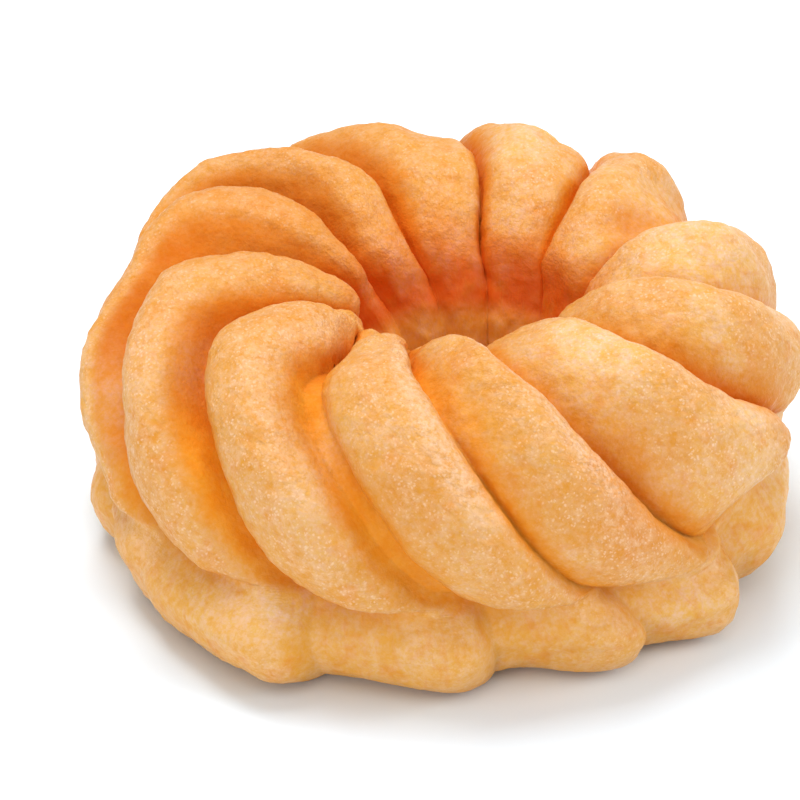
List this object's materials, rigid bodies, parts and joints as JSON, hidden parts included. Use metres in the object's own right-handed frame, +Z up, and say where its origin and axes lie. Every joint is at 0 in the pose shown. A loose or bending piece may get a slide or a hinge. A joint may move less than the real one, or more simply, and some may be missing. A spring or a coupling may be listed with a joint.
{
  "type": "cruller doughnut",
  "caption": "Ring of light fried dough with deep swirled ridges over a wavy base tier, an open hole and a flat foot to stand on, eaten as a pastry.",
  "frame": {"origin": "middle of the ring's outline, seen from above, at the level of the flat foot", "axes": "+Z up, along the axis of the hole; +Y towards the taller back of the ring; +X towards the side the hole lies nearer to"},
  "size_m": [0.09, 0.0916, 0.0398],
  "materials": {
    "crust": "golden fried crust, satin, finely blistered, paler on the ridges and deeper orange in the grooves and the hole"
  },
  "bodies": {
    "root": {"cruller": "crust"}
  },
  "joints": []
}
